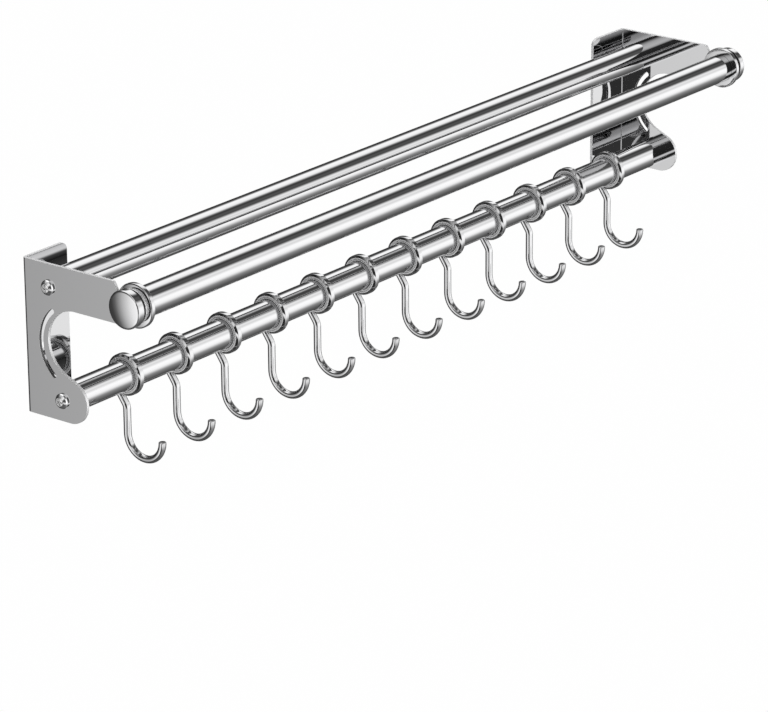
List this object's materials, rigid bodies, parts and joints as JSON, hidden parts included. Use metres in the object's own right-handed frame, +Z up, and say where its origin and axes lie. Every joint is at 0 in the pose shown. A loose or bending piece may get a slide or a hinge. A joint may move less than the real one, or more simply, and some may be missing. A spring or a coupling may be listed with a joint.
{
  "type": "kitchen utensil rail",
  "caption": "Wall-mounted kitchen rail: mirror-image folded brackets carry parallel tubes; sliding, swinging ring hooks hang from the lowest.",
  "frame": {"origin": "middle of the four wall screw holes, on the wall plane that the bracket flanges lie against", "axes": "+X along the tubes, towards the right bracket seen from the room; +Y into the wall; +Z up"},
  "size_m": [0.6368, 0.1004, 0.1402],
  "materials": {
    "polished_steel": "mirror-polished stainless steel",
    "screw_steel": "bright stainless steel",
    "tapped_aluminium": "machined aluminium",
    "grey_nylon": "smooth grey nylon"
  },
  "bodies": {
    "rail": {"left_bracket": "polished_steel", "right_bracket": "polished_steel", "rear_tube": "polished_steel", "front_tube": "polished_steel", "hook_tube": "polished_steel", "left_rear_insert": "tapped_aluminium", "left_front_insert": "tapped_aluminium", "left_hook_tube_insert": "tapped_aluminium", "left_rear_screw": "screw_steel", "left_hook_tube_screw": "screw_steel", "left_end_cap": "polished_steel", "left_collar": "polished_steel", "right_rear_insert": "tapped_aluminium", "right_front_insert": "tapped_aluminium", "right_hook_tube_insert": "tapped_aluminium", "right_rear_screw": "screw_steel", "right_hook_tube_screw": "screw_steel", "right_end_cap": "polished_steel", "right_collar": "polished_steel"},
    "liner_01": {"hook_liner_01": "grey_nylon"},
    "hook_01": {"hook_01": "polished_steel"},
    "liner_02": {"hook_liner_02": "grey_nylon"},
    "hook_02": {"hook_02": "polished_steel"},
    "liner_03": {"hook_liner_03": "grey_nylon"},
    "hook_03": {"hook_03": "polished_steel"},
    "liner_04": {"hook_liner_04": "grey_nylon"},
    "hook_04": {"hook_04": "polished_steel"},
    "liner_05": {"hook_liner_05": "grey_nylon"},
    "hook_05": {"hook_05": "polished_steel"},
    "liner_06": {"hook_liner_06": "grey_nylon"},
    "hook_06": {"hook_06": "polished_steel"},
    "liner_07": {"hook_liner_07": "grey_nylon"},
    "hook_07": {"hook_07": "polished_steel"},
    "liner_08": {"hook_liner_08": "grey_nylon"},
    "hook_08": {"hook_08": "polished_steel"},
    "liner_09": {"hook_liner_09": "grey_nylon"},
    "hook_09": {"hook_09": "polished_steel"},
    "liner_10": {"hook_liner_10": "grey_nylon"},
    "hook_10": {"hook_10": "polished_steel"},
    "liner_11": {"hook_liner_11": "grey_nylon"},
    "hook_11": {"hook_11": "polished_steel"},
    "liner_12": {"hook_liner_12": "grey_nylon"},
    "hook_12": {"hook_12": "polished_steel"}
  },
  "joints": [
    {"name": "hook_01_slide", "type": "slide", "parent": "rail", "child": "liner_01", "axis": [1, 0, 0], "range_m": [-0.05, 0.02]},
    {"name": "hook_01_swing", "type": "hinge", "parent": "liner_01", "child": "hook_01", "pos_m": [-0.253, -0.0289, -0.04], "axis": [1, 0, 0], "range_deg": [-172, 34]},
    {"name": "hook_02_slide", "type": "slide", "parent": "rail", "child": "liner_02", "axis": [1, 0, 0], "range_m": [-0.02, 0.02]},
    {"name": "hook_02_swing", "type": "hinge", "parent": "liner_02", "child": "hook_02", "pos_m": [-0.207, -0.0289, -0.04], "axis": [1, 0, 0], "range_deg": [-172, 34]},
    {"name": "hook_03_slide", "type": "slide", "parent": "rail", "child": "liner_03", "axis": [1, 0, 0], "range_m": [-0.02, 0.02]},
    {"name": "hook_03_swing", "type": "hinge", "parent": "liner_03", "child": "hook_03", "pos_m": [-0.161, -0.0289, -0.04], "axis": [1, 0, 0], "range_deg": [-172, 34]},
    {"name": "hook_04_slide", "type": "slide", "parent": "rail", "child": "liner_04", "axis": [1, 0, 0], "range_m": [-0.02, 0.02]},
    {"name": "hook_04_swing", "type": "hinge", "parent": "liner_04", "child": "hook_04", "pos_m": [-0.115, -0.0289, -0.04], "axis": [1, 0, 0], "range_deg": [-172, 34]},
    {"name": "hook_05_slide", "type": "slide", "parent": "rail", "child": "liner_05", "axis": [1, 0, 0], "range_m": [-0.02, 0.02]},
    {"name": "hook_05_swing", "type": "hinge", "parent": "liner_05", "child": "hook_05", "pos_m": [-0.069, -0.0289, -0.04], "axis": [1, 0, 0], "range_deg": [-172, 34]},
    {"name": "hook_06_slide", "type": "slide", "parent": "rail", "child": "liner_06", "axis": [1, 0, 0], "range_m": [-0.02, 0.02]},
    {"name": "hook_06_swing", "type": "hinge", "parent": "liner_06", "child": "hook_06", "pos_m": [-0.023, -0.0289, -0.04], "axis": [1, 0, 0], "range_deg": [-172, 34]},
    {"name": "hook_07_slide", "type": "slide", "parent": "rail", "child": "liner_07", "axis": [1, 0, 0], "range_m": [-0.02, 0.02]},
    {"name": "hook_07_swing", "type": "hinge", "parent": "liner_07", "child": "hook_07", "pos_m": [0.023, -0.0289, -0.04], "axis": [1, 0, 0], "range_deg": [-172, 34]},
    {"name": "hook_08_slide", "type": "slide", "parent": "rail", "child": "liner_08", "axis": [1, 0, 0], "range_m": [-0.02, 0.02]},
    {"name": "hook_08_swing", "type": "hinge", "parent": "liner_08", "child": "hook_08", "pos_m": [0.069, -0.0289, -0.04], "axis": [1, 0, 0], "range_deg": [-172, 34]},
    {"name": "hook_09_slide", "type": "slide", "parent": "rail", "child": "liner_09", "axis": [1, 0, 0], "range_m": [-0.02, 0.02]},
    {"name": "hook_09_swing", "type": "hinge", "parent": "liner_09", "child": "hook_09", "pos_m": [0.115, -0.0289, -0.04], "axis": [1, 0, 0], "range_deg": [-172, 34]},
    {"name": "hook_10_slide", "type": "slide", "parent": "rail", "child": "liner_10", "axis": [1, 0, 0], "range_m": [-0.02, 0.02]},
    {"name": "hook_10_swing", "type": "hinge", "parent": "liner_10", "child": "hook_10", "pos_m": [0.161, -0.0289, -0.04], "axis": [1, 0, 0], "range_deg": [-172, 34]},
    {"name": "hook_11_slide", "type": "slide", "parent": "rail", "child": "liner_11", "axis": [1, 0, 0], "range_m": [-0.02, 0.02]},
    {"name": "hook_11_swing", "type": "hinge", "parent": "liner_11", "child": "hook_11", "pos_m": [0.207, -0.0289, -0.04], "axis": [1, 0, 0], "range_deg": [-172, 34]},
    {"name": "hook_12_slide", "type": "slide", "parent": "rail", "child": "liner_12", "axis": [1, 0, 0], "range_m": [-0.02, 0.05]},
    {"name": "hook_12_swing", "type": "hinge", "parent": "liner_12", "child": "hook_12", "pos_m": [0.253, -0.0289, -0.04], "axis": [1, 0, 0], "range_deg": [-172, 34]}
  ]
}
